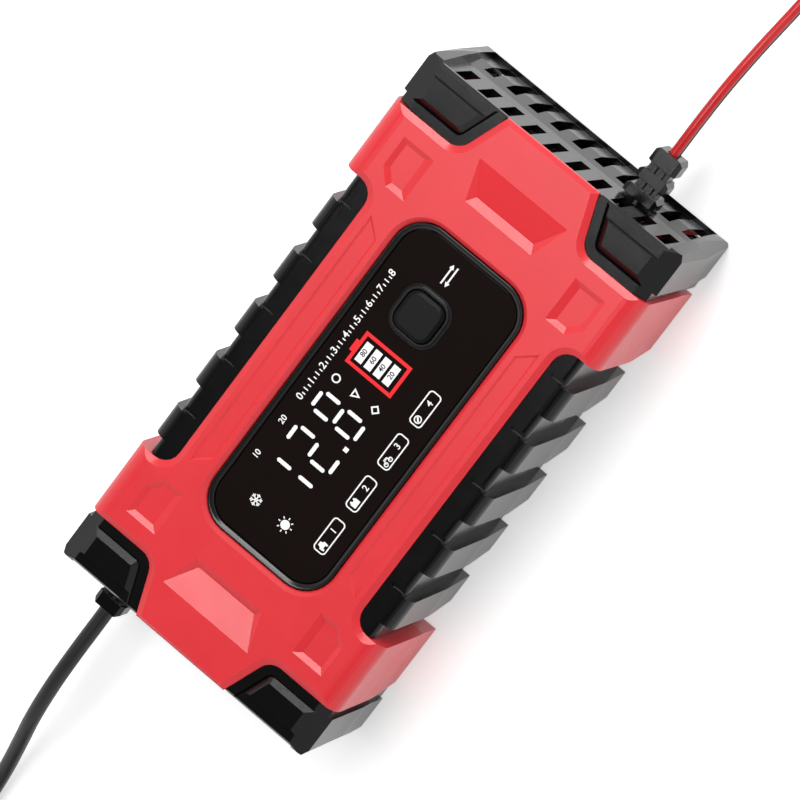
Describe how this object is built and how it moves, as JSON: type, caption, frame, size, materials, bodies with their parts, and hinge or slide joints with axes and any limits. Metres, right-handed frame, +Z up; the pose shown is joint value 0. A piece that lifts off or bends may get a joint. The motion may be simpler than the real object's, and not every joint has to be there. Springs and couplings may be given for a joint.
{
  "type": "car battery charger",
  "caption": "Box-shaped car battery charger: red cover, black end caps and ribbed grips, display panel with mode button, fan, mains lead with plug, output leads with crocodile clamps.",
  "frame": {"origin": "middle of the case's footprint, on the plane the rubber feet stand on", "axes": "+X along the case towards the slotted fan end with the output lead, +Y across it towards the mains lead's side, +Z up out of the display panel"},
  "size_m": [0.5985, 0.1195, 0.062],
  "materials": {
    "red_cover": "satin gloss",
    "black_case": "satin",
    "frame_grey": "gloss",
    "lens_black": "high gloss",
    "collar_black": "satin",
    "button_grey": "matt",
    "switch_white": "matt",
    "steel": "bright",
    "board_green": "solder resist",
    "ferrite": "matt",
    "copper_wire": "enamelled wire",
    "capacitor_blue": "sleeve",
    "dark_epoxy": "matt",
    "heatsink_alu": "extruded",
    "relay_blue": "moulded",
    "fuse_glass": "clear tube, drawn solid",
    "fan_black": "matt",
    "foot_rubber": "matt",
    "lead_black": "satin sheath",
    "lead_red": "satin sheath",
    "tie_black": "satin",
    "plug_black": "satin",
    "clamp_red": "coated steel",
    "clamp_black": "coated steel"
  },
  "bodies": {
    "charger": {"top_cover": "red_cover", "bottom_cover": "black_case", "vent_end_cap": "black_case", "mains_end_cap": "black_case", "left_grip": "black_case", "right_grip": "black_case", "panel_frame": "frame_grey", "panel_lens": "lens_black", "button_collar": "collar_black", "tact_switch": "steel", "display_module": "switch_white", "display_board": "board_green", "display_screws": "steel", "main_board": "board_green", "board_screws": "steel", "transformer_core": "ferrite", "transformer_winding": "copper_wire", "input_capacitor": "capacitor_blue", "output_capacitors": "dark_epoxy", "heatsink": "heatsink_alu", "power_transistors": "dark_epoxy", "bridge_rectifier": "dark_epoxy", "choke": "copper_wire", "relay": "relay_blue", "fuse": "fuse_glass", "fan_frame": "fan_black", "fan_screws": "steel", "case_screws": "steel", "rubber_feet": "foot_rubber", "mains_strain_relief": "black_case", "output_strain_relief": "black_case", "mains_lead": "lead_black", "mains_coil": "lead_black", "mains_tail": "lead_black", "mains_tie": "tie_black", "mains_plug": "plug_black", "mains_plug_pins": "steel", "output_lead_red": "lead_red", "output_lead_black": "lead_black", "output_coil_red": "lead_red", "output_coil_black": "lead_black", "output_tie": "tie_black", "output_tail_red": "lead_red", "output_tail_black": "lead_black", "clamp_red_lower": "clamp_red", "clamp_red_pin": "steel", "clamp_red_spring": "steel", "clamp_black_lower": "clamp_black", "clamp_black_pin": "steel", "clamp_black_spring": "steel"},
    "button": {"mode_button": "button_grey", "switch_plunger": "switch_white"},
    "rotor": {"fan_rotor": "fan_black"},
    "red_jaw": {"clamp_red_upper": "clamp_red"},
    "black_jaw": {"clamp_black_upper": "clamp_black"}
  },
  "joints": [
    {"name": "mode_button_press", "type": "slide", "parent": "charger", "child": "button", "axis": [0, 0, -1], "range_m": [0, 0.0008], "stiffness_N_per_m": 600, "springref_m": -0.0008},
    {"name": "fan_spin", "type": "hinge", "parent": "charger", "child": "rotor", "pos_m": [0.091, 0.01187, 0.031], "axis": [1, 0, 0], "continuous": true},
    {"name": "red_clamp_open", "type": "hinge", "parent": "charger", "child": "red_jaw", "pos_m": [0.272, 0.0262, 0.006], "axis": [0, 0, -1], "range_deg": [0, 26], "stiffness_Nm_per_rad": 0.4, "springref_deg": -22.92},
    {"name": "black_clamp_open", "type": "hinge", "parent": "charger", "child": "black_jaw", "pos_m": [0.299, 0.0262, 0.006], "axis": [0, 0, -1], "range_deg": [0, 26], "stiffness_Nm_per_rad": 0.4, "springref_deg": -22.92}
  ]
}
